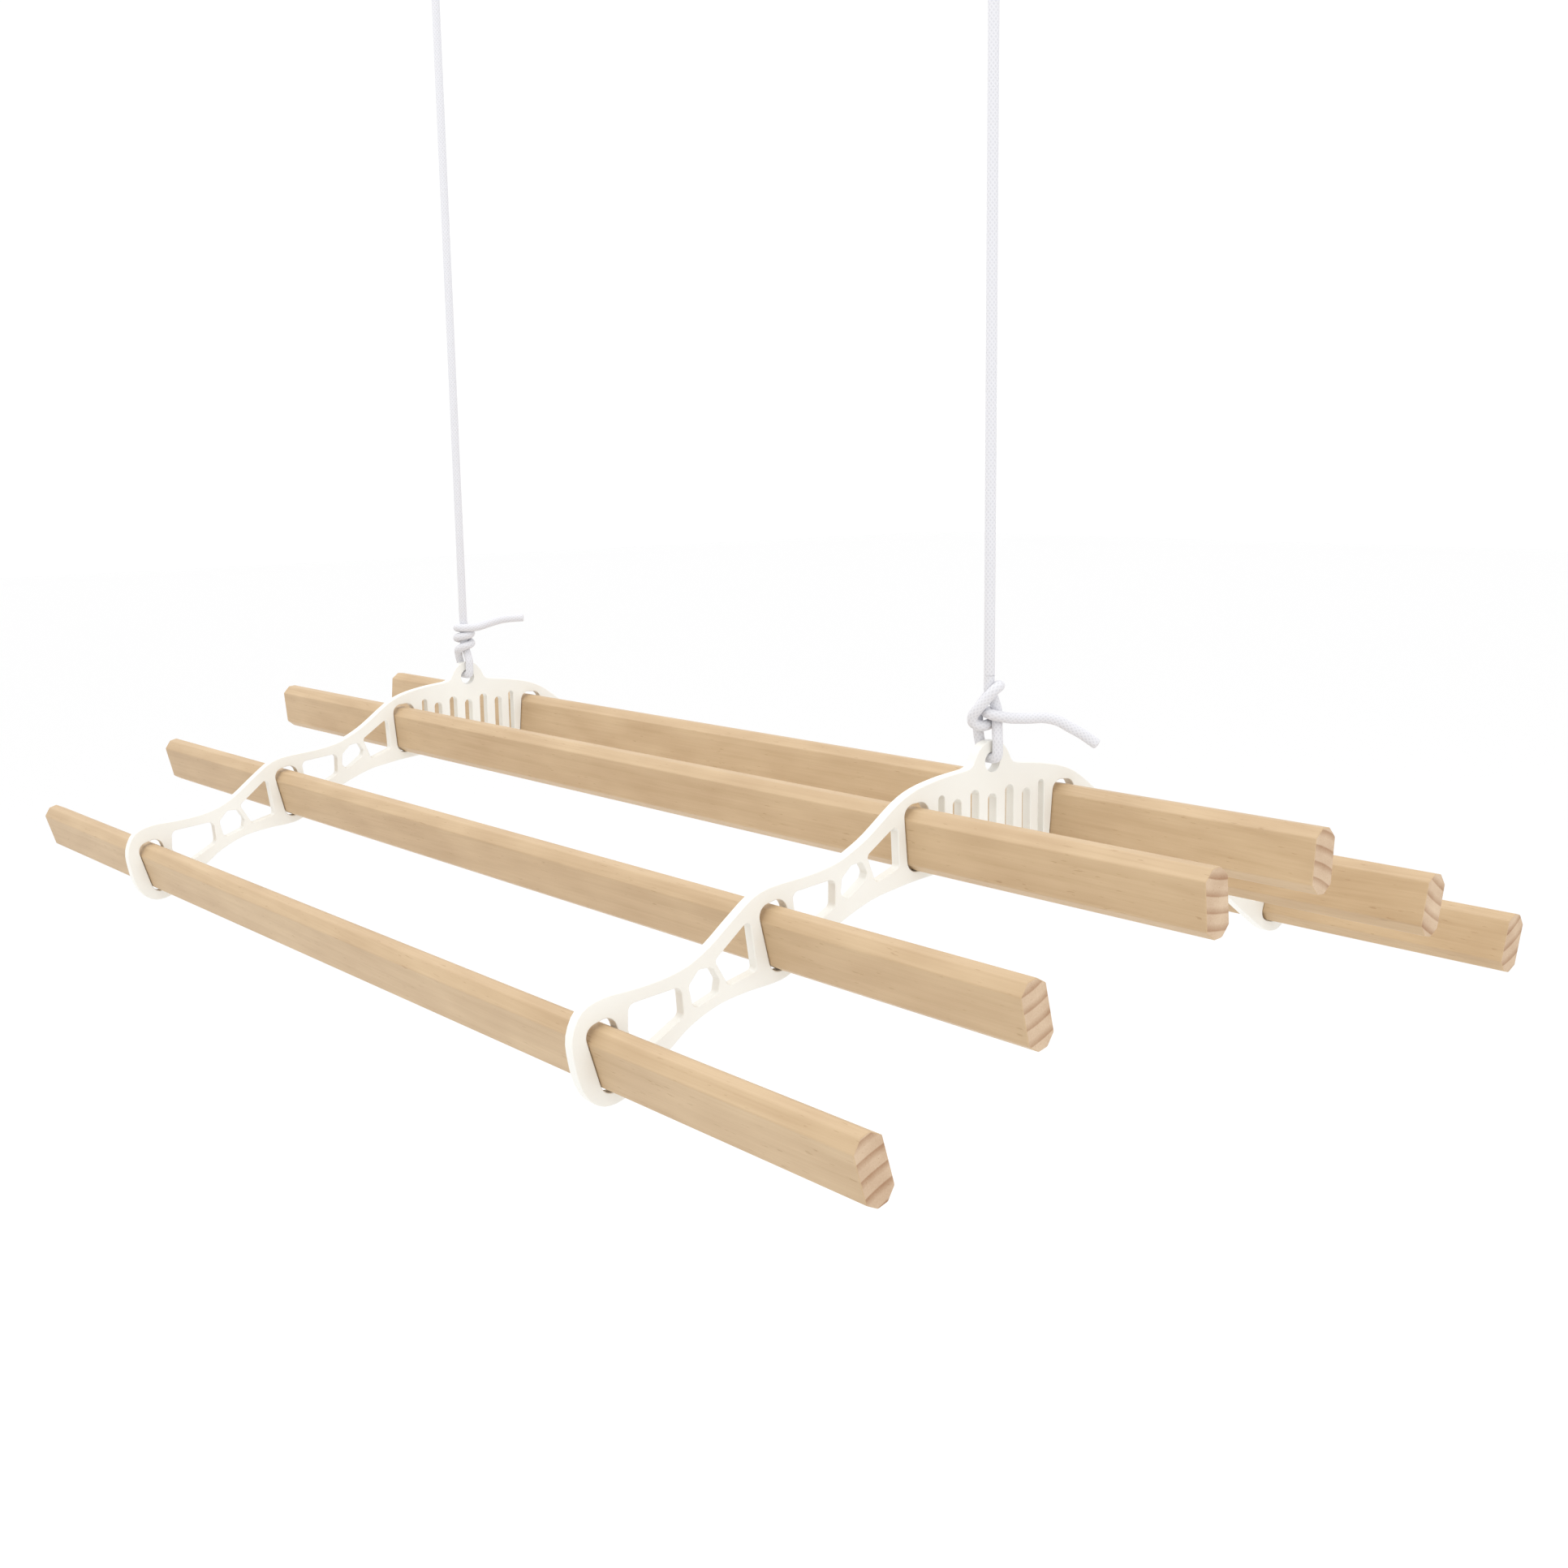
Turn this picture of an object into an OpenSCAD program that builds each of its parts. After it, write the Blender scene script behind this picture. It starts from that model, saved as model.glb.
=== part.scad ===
// Ceiling mounted pulley rack for drying clothes: six wooden laths held in two cast
// rack ends, hung on two ropes that run over ceiling pulleys to a cleat hook.
// X runs along the laths, Y across them and Z up. The origin lies in the ceiling
// plane, midway between the two hanging ropes.

/* [Laths] */
// Length of each lath
lath_l = 1200; // [1000:10:2400]
// Height of a lath's section, its long way
lath_h = 42.5; // [41:0.5:43]
// Thickness of a lath's section
lath_w = 20.7; // [18:0.1:21]
// Chamfer on a lath's four long edges, across its thickness
lath_chamfer_w = 6.8; // [6:0.1:8]
// Chamfer on a lath's four long edges, along its height
lath_chamfer_h = 6.2; // [6:0.1:9]
// How far each lath is slid along through the rack ends
lath_slide = [-20, -28, 0, -22, -15, -26]; // [-60:1:60]

/* [Rack ends] */
// Distance between the middles of the two rack ends
end_gap = 710; // [500:10:900]
// Thickness of the casting
end_t = 8; // [6:0.5:8]
// How far the rack ends stand out of square with the laths, in degrees
end_turn = 2.2; // [0:0.1:2.4]
// Gap between a lath and the sides of its slot
slot_side_gap = 0.5; // [0.5:0.1:1.2]
// Gap above a lath in its slot
slot_top_gap = 3.5; // [3:0.5:6]
// Diameter of the rope hole in the lug
lug_hole_d = 14; // [13.5:0.5:15]
// Distance between the slits in the middle of the casting
slit_pitch = 16.5; // [15:0.5:17]
// Width of a slit
slit_w = 7.8; // [6:0.2:10]
// Width of the first and the last slit
end_slit_w = 5.5; // [4:0.5:7]

/* [Hanging] */
// How far the top laths hang below the ceiling
rack_drop = 800; // [780:10:2400]
// Diameter of the rope
rope_d = 7.5; // [5:0.5:7.5]

/* [Pulleys] */
// Outside diameter of a pulley wheel
wheel_d = 56; // [54:1:58]
// Diameter of a wheel at the bottom of its groove
groove_root_d = 37; // [34:1:37]
// Width of a wheel
wheel_w = 13; // [11:0.5:13]
// Diameter of the axle pins
axle_d = 8; // [6:0.5:9]
// Radial clearance between an axle pin and a wheel's bore
axle_clearance = 0.08; // [0.02:0.01:0.1]
// Distance between the two wheels of the double pulley
wheel_pitch = 16; // [16:0.5:17]
// How far the axles lie below the ceiling
axle_drop = 36; // [36:1:40]
// Thickness of the pulleys' and cleat's ceiling plates
plate_t = 4; // [3:0.5:5]
// Length of a pulley's ceiling plate
pulley_plate_l = 96; // [90:1:110]
// Distance between a pulley's two screw holes
pulley_screw_gap = 76; // [70:1:80]
// Diameter of the screw holes
screw_hole_d = 5; // [4:0.5:6]

/* [Cleat hook] */
// Distance of the cleat hook from the origin
cleat_x = 500; // [490:1:700]
// Length over the two horns
horn_l = 120; // [100:1:130]
// Length of the stem that the horns stand on
stem_l = 44; // [36:1:50]
// Width of the stem
stem_w = 14; // [12:0.5:14]
// Distance from the ceiling to the underside of the horns
stem_h = 26; // [26:0.5:30]
// Distance between the cleat's two screw holes
cleat_screw_gap = 60; // [56:1:66]

/* [Hidden] */

// Colours
pine = "burlywood";
enamel = "ivory";
braid = "whitesmoke";
nylon = "gainsboro";
steel = "silver";

// Each lath's middle, measured from the middle of the rack end at the level of the
// top laths, and how far its top leans outwards, in degrees. Outermost first.
lath_places = [[315.8, -99.2, 16.6], [187.4, -47.3, 13.4], [68.5, 0, 4.9]];

// Half of the casting's outline, from the middle of the lug outwards along the top,
// round the outer lath's ring and back along the bottom to the middle.
half_outline = [
    [0, 59.8], [4.5, 59.3], [9, 57.4], [13.5, 53], [16.5, 48], [19, 44], [24, 41.8],
    [36, 40.4], [50, 38.5], [70, 34], [87, 26], [111, 8.5], [126, 0], [140, -6],
    [160, -10], [186, -12.5], [198, -14.5], [209, -19], [225, -31], [241, -43.5],
    [257, -52.5], [275, -57.5], [297, -60], [318, -61], [334, -67], [341.5, -82],
    [340.5, -98], [336.5, -113], [330, -123.5], [320, -129], [307, -127.5],
    [292, -118], [271, -102.5], [256, -91.5], [234, -82], [210, -78], [196, -77],
    [182, -74.5], [168, -67], [152, -55.5], [137, -46.5], [110, -35.5], [88, -31],
    [67, -28], [34, -25], [0, -24]
];
// Segments that smooth each stretch of the outline
outline_steps = 3;

// The windows cast into each half: the radius of a window's corners, then the corners
windows = [
    [5, [[301.5, -69], [302, -85], [293, -102.5], [261.5, -84.5], [263, -65]]],
    [3.8, [[249.5, -56.8], [239.5, -57.2], [234, -66.5], [235.5, -75], [254, -81.5], [257.5, -66]]],
    [3.2, [[210, -31], [205, -66], [227, -71.5], [237.5, -53.5]]],
    [4.5, [[176, -20], [140.5, -16], [141, -35], [168.5, -49.5], [174, -33]]],
    [3.5, [[127, -9.5], [118, -8], [113.5, -16], [115, -20.5], [131, -32], [136, -27], [135, -17]]],
    [3.2, [[87, 13], [85.5, -17], [106, -24.5], [113.5, -5]]]
];
// Segments that round each of a window's corners
window_corner_steps = 5;

slot_corner_r = 8;
slot_bottom_gap = 0.4;
// How far each slot is cut to either side of the lug, past the outermost parts of a
// casting that stands out of square
slot_reach = 30;

slit_bottom = -14;
high_slit_top = 27;
low_slit_top = 22.7;
end_slit_y = 47.5;

lug_hole_z = 45;

// The rope's routes. The loop and the tails are measured from the middle of their
// rack end at the level of the top laths; the overhead ropes from the origin.
loop_route = [
    [3.8, 0, 76], [5.4, 0, 70], [8, 0, 63], [8.2, 0, 55], [8.2, 0, 51.2], [7.1, 0, 48.5],
    [4.6, 0, 47.6], [0, 0, 47.6], [-4.6, 0, 47.6], [-7.1, 0, 48.5], [-8.2, 0, 51.2],
    [-8.2, 0, 55], [-8, 0, 63], [-5.4, 0, 70], [-3.8, 0, 76]
];
tail_right_route = [
    [2, 2, 77], [9, 11, 75.5], [18, 21, 74.5], [27, 33, 74], [36, 43, 67.5], [47.3, 56.9, 56]
];
tail_left_route = [
    [2, 2, 91], [7, 8, 94], [16, 20, 99], [27, 32, 102], [37, 45, 103]
];
overhead_left_route = [
    [-355, 0, -36], [-355, 0, -35], [-353.2, 0, -27.2], [-348.3, 0, -19.7], [-340.8, 0, -14.8],
    [-332, 0, -13], [-310, 0.5, -13], [20, 8, -13], [356, 15.5, -13], [378, 16, -13],
    [400, 16, -13], [430, 14.5, -13], [474, 12, -13]
];
overhead_right_route = [
    [355, 0, -36], [355, 0, -35], [356.8, 0, -27.2], [361.7, 0, -19.7], [369.2, 0, -14.8],
    [378, 0, -13], [400, -2, -13], [430, -7, -13], [474, -12, -13]
];
rope_sides = 10;
// Side of a route that its rings are turned by: across for the ropes that lie in a
// vertical plane, and up for the level ones
across = [0, 1, 0];
up = [0, 0, 1];

// The knot's body, above the lug
knot_r = 10.5;
knot_low = 80.5;
knot_high = 94;
knot_top = 104.5;

wheel_side_gap = 0.6;
groove_r = 4.2;
hub_d = 20;
web_w = 6;
rim_t = 4;
cheek_t = 4;
cheek_foot_l = 46;
cheek_end_r = 12;
pin_head_d = 14;
pin_head_t = 2.5;
pin_fit = 0.05;
washer_t = 2;
washer_d = 18;
wheel_reach = 23;
pulley_plate_margin = 8;
single_x = -end_gap / 2 + wheel_reach;
double_x = end_gap / 2 + wheel_reach;

horn_w = 12;
horn_t = 10;
horn_tip_r = 4;
horn_tip_rise = 7;
cleat_plate_l = 34;
cleat_plate_w = 80;
turns_gap = 0.4;

fine = 96;

// Catmull-Rom curve through a closed list of points
function between(a, b, c, d, t) =
    0.5 * (2 * b + (c - a) * t + (2 * a - 5 * b + 4 * c - d) * t * t
    + (3 * b - a - 3 * c + d) * t * t * t);

function smooth(points, steps) = let (n = len(points)) [
    for (i = [0 : n - 1], k = [0 : steps - 1])
        between(points[(i + n - 1) % n], points[i], points[(i + 1) % n], points[(i + 2) % n], k / steps)
];

// A half outline and its mirror image, without the two points on the middle twice
function whole(half) = concat(
    half,
    [for (i = [len(half) - 2 : -1 : 1]) [-half[i][0], half[i][1]]]
);

function unit(v) = v / norm(v);

// Rounds the corners of a closed outline with arcs of one radius
function rounded(points, r, steps) = let (n = len(points)) [
    for (i = [0 : n - 1])
        let (
            p = points[i],
            a = unit(points[(i + n - 1) % n] - p),
            b = unit(points[(i + 1) % n] - p),
            half = acos(a * b) / 2,
            middle = p + unit(a + b) * r / sin(half),
            from = p + a * r / tan(half) - middle,
            to = p + b * r / tan(half) - middle
        )
        for (k = [0 : steps])
            middle + unit(from * (1 - k / steps) + to * k / steps) * r
];

function tangent(route, i) =
    unit(route[min(i + 1, len(route) - 1)] - route[max(i - 1, 0)]);

// A round tube along a route, as one closed body. side is a direction that the
// route never runs along.
module tube(route, d, side) {
    rings = len(route);
    points = [
        for (i = [0 : rings - 1])
            let (t = tangent(route, i), u = unit(cross(t, side)), v = cross(t, u))
            for (k = [0 : rope_sides - 1])
                let (a = 360 * k / rope_sides)
                route[i] + (u * cos(a) + v * sin(a)) * d / 2
    ];
    sides = [
        for (i = [0 : rings - 2], k = [0 : rope_sides - 1])
            let (n = (k + 1) % rope_sides, low = i * rope_sides, high = low + rope_sides)
            [low + k, high + k, high + n, low + n]
    ];
    first = [for (k = [0 : rope_sides - 1]) k];
    last = [for (k = [rope_sides - 1 : -1 : 0]) (rings - 1) * rope_sides + k];
    polyhedron(points = points, faces = concat(sides, [first, last]), convexity = 6);
}

// Stands a flat outline drawn in Y and Z up across X, centred on X = 0
module stood_up(t) {
    rotate([90, 0, 90])
        translate([0, 0, -t / 2])
            linear_extrude(height = t, convexity = 10)
                children();
}

// A bar along Z with rounded corners, centred on the axis
module rounded_bar(w, l, r, h) {
    translate([-w / 2, -l / 2 + r, 0])
        cube([w, l - 2 * r, h]);
    translate([-w / 2 + r, -l / 2, 0])
        cube([w - 2 * r, l, h]);
    for (x = [-1, 1], y = [-1, 1])
        translate([x * (w / 2 - r), y * (l / 2 - r), 0])
            cylinder(r = r, h = h, $fn = fine);
}

// Places a child at a lath's slot: i is 0 to 5 across the rack, -Y first
module at_lath(i) {
    side = i < 3 ? -1 : 1;
    place = lath_places[i < 3 ? i : 5 - i];
    translate([0, side * place[0], place[1]])
        rotate([-side * place[2], 0, 0])
            children();
}

module lath_slot() {
    h = lath_h + slot_bottom_gap + slot_top_gap;
    translate([-slot_reach, 0, (slot_top_gap - slot_bottom_gap) / 2])
        rotate([90, 0, 90])
            rounded_bar(lath_w + 2 * slot_side_gap, h, slot_corner_r, 2 * slot_reach);
}

module slit(y, w, top) {
    for (z = [slit_bottom + w / 2, top - w / 2])
        translate([-end_t, y, z])
            rotate([0, 90, 0])
                cylinder(d = w, h = 2 * end_t, $fn = fine);
    translate([-end_t, y - w / 2, slit_bottom + w / 2])
        cube([2 * end_t, w, top - slit_bottom - w]);
}

module casting() {
    difference() {
        stood_up(end_t) polygon(smooth(whole(half_outline), outline_steps));
        for (window = windows, side = [0, 1])
            mirror([0, side, 0])
                stood_up(2 * end_t)
                    polygon(rounded(window[1], window[0], window_corner_steps));
        for (i = [-2 : 2])
            slit(i * slit_pitch, slit_w, i % 2 == 0 ? low_slit_top : high_slit_top);
        for (y = [-end_slit_y, end_slit_y])
            slit(y, end_slit_w, high_slit_top);
        translate([-end_t, 0, lug_hole_z])
            rotate([0, 90, 0])
                cylinder(d = lug_hole_d, h = 2 * end_t, $fn = fine);
    }
}

// A casting turned about its lug, with slots that follow the laths
module rack_end(x) {
    color(enamel)
        translate([x, 0, -rack_drop])
            difference() {
                rotate([0, 0, -end_turn]) casting();
                for (i = [0 : 5])
                    at_lath(i) lath_slot();
            }
}

module lath(i) {
    w = lath_w / 2;
    h = lath_h / 2;
    corner = [
        [w, h - lath_chamfer_h], [w - lath_chamfer_w, h],
        [lath_chamfer_w - w, h], [-w, h - lath_chamfer_h]
    ];
    color(pine)
        translate([lath_slide[i], 0, -rack_drop])
            at_lath(i)
                stood_up(lath_l)
                    polygon(concat(corner, [for (k = [3 : -1 : 0]) [corner[k][0], -corner[k][1]]]));
}

module knot(x, tail_route) {
    color(braid)
        translate([x, 0, -rack_drop])
            union() {
                tube(loop_route, rope_d, across);
                tube(tail_route, rope_d, up);
                translate([0, 0, knot_low])
                    cylinder(r = knot_r, h = knot_high - knot_low, $fn = fine);
                for (z = [knot_low, knot_high])
                    translate([0, 0, z])
                        sphere(r = knot_r, $fn = fine);
            }
}

module hanging_rope(x) {
    bottom = -rack_drop + knot_top;
    color(braid)
        translate([x, 0, bottom])
            cylinder(d = rope_d, h = -axle_drop - bottom, $fn = fine);
}

module overhead_rope(route) {
    color(braid)
        tube(route, rope_d, across + up);
}

module wheel(x, y) {
    rim_low = groove_root_d / 2 - rim_t;
    side = [
        [axle_d / 2 + axle_clearance, wheel_w / 2], [hub_d / 2, wheel_w / 2],
        [hub_d / 2, web_w / 2], [rim_low, web_w / 2],
        [rim_low, wheel_w / 2 - 1], [rim_low + 1, wheel_w / 2], [wheel_d / 2, wheel_w / 2],
        [wheel_d / 2, wheel_w / 2 - 1]
    ];
    color(nylon)
        translate([x, y, -axle_drop])
            rotate([90, 0, 0])
                difference() {
                    rotate_extrude($fn = fine)
                        polygon(concat(side, [for (k = [7 : -1 : 0]) [side[k][0], -side[k][1]]]));
                    rotate_extrude($fn = fine)
                        translate([groove_root_d / 2 + groove_r, 0])
                            circle(r = groove_r, $fn = 48);
                    rotate_extrude($fn = fine)
                        polygon([
                            [groove_root_d / 2 + groove_r, groove_r],
                            [wheel_d / 2 + 1, wheel_w / 2 - 1],
                            [wheel_d / 2 + 1, 1 - wheel_w / 2],
                            [groove_root_d / 2 + groove_r, -groove_r]
                        ]);
                }
}

// A plate cheek that holds one end of an axle; its inner face is at Y = 0 and it
// stands towards +Y
module cheek() {
    translate([0, cheek_t, 0])
        rotate([90, 0, 0])
            difference() {
                union() {
                    translate([0, -axle_drop, 0])
                        cylinder(r = cheek_end_r, h = cheek_t, $fn = fine);
                    linear_extrude(height = cheek_t)
                        polygon([
                            [-cheek_foot_l / 2, -plate_t / 2], [cheek_foot_l / 2, -plate_t / 2],
                            [cheek_end_r * 0.985, -axle_drop + 2], [-cheek_end_r * 0.985, -axle_drop + 2]
                        ]);
                }
                translate([0, -axle_drop, -1])
                    cylinder(d = axle_d + 2 * pin_fit, h = cheek_t + 2, $fn = fine);
            }
}

// A ceiling bracket at x whose wheels lie between y_low and y_high
module bracket(x, y_low, y_high) {
    inner_low = y_low - wheel_w / 2 - wheel_side_gap;
    inner_high = y_high + wheel_w / 2 + wheel_side_gap;
    width = inner_high - inner_low + 2 * (cheek_t + pulley_plate_margin);
    color(enamel)
        translate([x, 0, 0])
            union() {
                difference() {
                    translate([0, (y_low + y_high) / 2, -plate_t])
                        rounded_bar(pulley_plate_l, width, 8, plate_t);
                    for (side = [-1, 1])
                        translate([side * pulley_screw_gap / 2, (y_low + y_high) / 2, -plate_t - 1])
                            cylinder(d = screw_hole_d, h = plate_t + 2, $fn = fine);
                }
                translate([0, inner_high, 0])
                    cheek();
                translate([0, inner_low, 0])
                    mirror([0, 1, 0])
                        cheek();
            }
}

// A pin with a head at each end, through a bracket
module axle(x, y_low, y_high) {
    low = y_low - wheel_w / 2 - wheel_side_gap - cheek_t;
    high = y_high + wheel_w / 2 + wheel_side_gap + cheek_t;
    color(steel)
        translate([x, high, -axle_drop])
            rotate([90, 0, 0])
                union() {
                    cylinder(d = axle_d, h = high - low, $fn = fine);
                    translate([0, 0, -pin_head_t - pin_fit])
                        cylinder(d = pin_head_d, h = pin_head_t, $fn = fine);
                    translate([0, 0, -pin_fit])
                        cylinder(d = axle_d, h = pin_fit, $fn = fine);
                    translate([0, 0, high - low])
                        cylinder(d = axle_d, h = pin_fit, $fn = fine);
                    translate([0, 0, high - low + pin_fit])
                        cylinder(d = pin_head_d, h = pin_head_t, $fn = fine);
                }
}

module double_pulley_washer() {
    color(steel)
        translate([double_x, (wheel_pitch + washer_t) / 2, -axle_drop])
            rotate([90, 0, 0])
                difference() {
                    cylinder(d = washer_d, h = washer_t, $fn = fine);
                    translate([0, 0, -1])
                        cylinder(d = axle_d + 2 * pin_fit, h = washer_t + 2, $fn = fine);
                }
}

// The cleat's stem and its two horns, larger all round by gap
module cleat_body(gap) {
    translate([0, 0, -stem_h - gap])
        rounded_bar(stem_l + 2 * gap, stem_w + 2 * gap, stem_w / 2 + gap - 0.01, stem_h + gap);
    rotate([90, 0, 0])
        translate([0, 0, -horn_w / 2 - gap])
            linear_extrude(height = horn_w + 2 * gap)
                polygon([
                    [-stem_l / 2, -stem_h + gap], [stem_l / 2, -stem_h + gap],
                    [horn_l / 2 - horn_tip_r, -stem_h - horn_tip_rise + gap],
                    [horn_l / 2 - horn_tip_r, -stem_h - horn_tip_rise - 2 * horn_tip_r - gap],
                    [stem_l / 2, -stem_h - horn_t - gap], [-stem_l / 2, -stem_h - horn_t - gap],
                    [-horn_l / 2 + horn_tip_r, -stem_h - horn_tip_rise - 2 * horn_tip_r - gap],
                    [-horn_l / 2 + horn_tip_r, -stem_h - horn_tip_rise + gap]
                ]);
    for (side = [-1, 1])
        translate([side * (horn_l / 2 - horn_tip_r), 0, -stem_h - horn_tip_rise - horn_tip_r])
            rotate([90, 0, 0])
                translate([0, 0, -horn_w / 2 - gap])
                    cylinder(r = horn_tip_r + gap, h = horn_w + 2 * gap, $fn = fine);
}

module cleat_hook() {
    color(enamel)
        translate([cleat_x, 0, 0])
            difference() {
                union() {
                    translate([0, 0, -plate_t])
                        rounded_bar(cleat_plate_l, cleat_plate_w, 8, plate_t);
                    cleat_body(0);
                }
                for (side = [-1, 1])
                    translate([0, side * cleat_screw_gap / 2, -plate_t - 1])
                        cylinder(d = screw_hole_d, h = plate_t + 2, $fn = fine);
            }
}

// The outer shape of both ropes' figure-of-eight turns on the cleat
module cleat_turns() {
    belt_l = stem_l + 2 * 14;
    belt_w = stem_w + 2 * 14;
    color(braid)
        translate([cleat_x, 0, 0])
            difference() {
                union() {
                    translate([0, 0, -24])
                        rounded_bar(belt_l, belt_w, belt_w / 2 - 0.01, 18);
                    translate([0, 0, -50])
                        rounded_bar(belt_l - 22, belt_w - 6, 14, 40);
                }
                cleat_body(turns_gap);
            }
}

rack_end(-end_gap / 2);  // rack_end_left
rack_end(end_gap / 2);  // rack_end_right
lath(0);  // lath_1
lath(1);  // lath_2
lath(2);  // lath_3
lath(3);  // lath_4
lath(4);  // lath_5
lath(5);  // lath_6
knot(-end_gap / 2, tail_left_route);  // knot_left
knot(end_gap / 2, tail_right_route);  // knot_right
hanging_rope(-end_gap / 2);  // hanging_rope_left
hanging_rope(end_gap / 2);  // hanging_rope_right
overhead_rope(overhead_left_route);  // overhead_rope_left
overhead_rope(overhead_right_route);  // overhead_rope_right
bracket(single_x, 0, 0);  // single_pulley_bracket
wheel(single_x, 0);  // single_pulley_wheel
axle(single_x, 0, 0);  // single_pulley_axle
bracket(double_x, 0, wheel_pitch);  // double_pulley_bracket
wheel(double_x, 0);  // double_pulley_wheel_near
wheel(double_x, wheel_pitch);  // double_pulley_wheel_far
axle(double_x, 0, wheel_pitch);  // double_pulley_axle
double_pulley_washer();
cleat_hook();
cleat_turns();
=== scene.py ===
from math import pi, radians, sin

import bmesh
import bpy
from mathutils import Matrix, Vector
from mathutils.geometry import interpolate_bezier


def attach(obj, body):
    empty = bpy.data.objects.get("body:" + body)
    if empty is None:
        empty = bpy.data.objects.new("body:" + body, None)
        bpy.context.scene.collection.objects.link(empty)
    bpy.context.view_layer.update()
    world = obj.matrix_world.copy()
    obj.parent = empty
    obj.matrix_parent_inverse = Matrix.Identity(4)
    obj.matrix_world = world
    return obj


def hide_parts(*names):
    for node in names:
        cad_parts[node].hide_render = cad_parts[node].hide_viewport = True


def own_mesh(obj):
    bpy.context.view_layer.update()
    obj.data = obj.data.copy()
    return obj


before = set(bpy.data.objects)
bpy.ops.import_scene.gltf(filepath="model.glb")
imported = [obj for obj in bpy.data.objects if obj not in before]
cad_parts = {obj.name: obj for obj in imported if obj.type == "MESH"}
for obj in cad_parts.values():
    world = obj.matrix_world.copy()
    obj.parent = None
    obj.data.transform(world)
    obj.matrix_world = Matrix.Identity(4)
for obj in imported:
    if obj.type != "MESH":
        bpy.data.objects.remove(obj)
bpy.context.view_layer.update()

scene = bpy.context.scene
scene.view_settings.view_transform = "Standard"
mm = 0.001


# Camera and stage

view = {
    "place": (1.2141, -0.8986, -0.5478),
    "yaw": 50.25,     # degrees to the left of +Y
    "pitch": -10.16,  # degrees above the horizon
    "roll": -0.785,
    "lens": 41.66,
    "seesTo": 100,    # metres
}

studio = {
    "worldStrength": 1.03,
    "floorColour": "#fbfbfb",
    "floorLevel": -2.3,
    "floorSize": 60.0,
    "aim": (0, 0, -0.8),
    # each softbox's place, width in metres and power in watts: one over the rack, one
    # beyond the near ends of the laths
    "lights": {
        "topLight": ((-0.3, -0.6, 1.6), 3.2, 34),
        "sideLight": ((3.2, -0.6, 0.4), 2.0, 14),
    },
}


def makeCamera():
    data = bpy.data.cameras.new("camera")
    data.lens = view["lens"]
    data.clip_end = view["seesTo"]
    camera = bpy.data.objects.new("camera", data)
    camera.matrix_world = (
        Matrix.Translation(view["place"])
        @ Matrix.Rotation(radians(view["yaw"]), 4, "Z")
        @ Matrix.Rotation(radians(90 + view["pitch"]), 4, "X")
        @ Matrix.Rotation(radians(view["roll"]), 4, "Z")
    )
    scene.collection.objects.link(camera)
    scene.camera = camera


makeCamera()
print("camera")


# Small helpers

def linearColour(code):
    # sRGB hex to the linear values that a shader takes
    parts = [int(code[k:k + 2], 16) / 255 for k in (1, 3, 5)]
    return [*(c / 12.92 if c <= 0.04045 else ((c + 0.055) / 1.055) ** 2.4 for c in parts), 1]


def addNode(material, kind, values=None, links=None, **settings):
    made = material.node_tree.nodes.new("ShaderNode" + kind)
    for name, value in settings.items():
        setattr(made, name, value)
    for name, value in (values or {}).items():
        made.inputs[name].default_value = value
    for name, output in (links or {}).items():
        material.node_tree.links.new(output, made.inputs[name])
    return made


def newMaterial(name):
    material = bpy.data.materials.new(name)
    material.use_nodes = True
    material.node_tree.nodes.clear()
    return material


def finishMaterial(material, values, links):
    shader = addNode(material, "BsdfPrincipled", values, links)
    addNode(material, "OutputMaterial", links={"Surface": shader.outputs[0]})
    return material


def newPiece(name, bm, body, materials, nodes=(), smoothAngle=35):
    mesh = bpy.data.meshes.new(name)
    bm.to_mesh(mesh)
    bm.free()
    mesh.shade_smooth()
    mesh.set_sharp_from_angle(angle=radians(smoothAngle))
    for material in materials:
        mesh.materials.append(material)
    piece = bpy.data.objects.new(name, mesh)
    scene.collection.objects.link(piece)
    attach(piece, body)
    if nodes:
        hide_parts(*nodes)
    flatten = piece.modifiers.new("flatFaces", "WEIGHTED_NORMAL")  # flat right up to each edge
    flatten.keep_sharp = True
    return piece


# Materials

braid = {
    "strandsEachWay": 8,
    "plaitLength": 3.6 * mm,
    # the first colour is painted shade for the grooves between strands, the second is the strands' own
    # white
    "groovePaintedShade": "#cfcfd4",
    "raised": "#dfdfe3",
}


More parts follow.
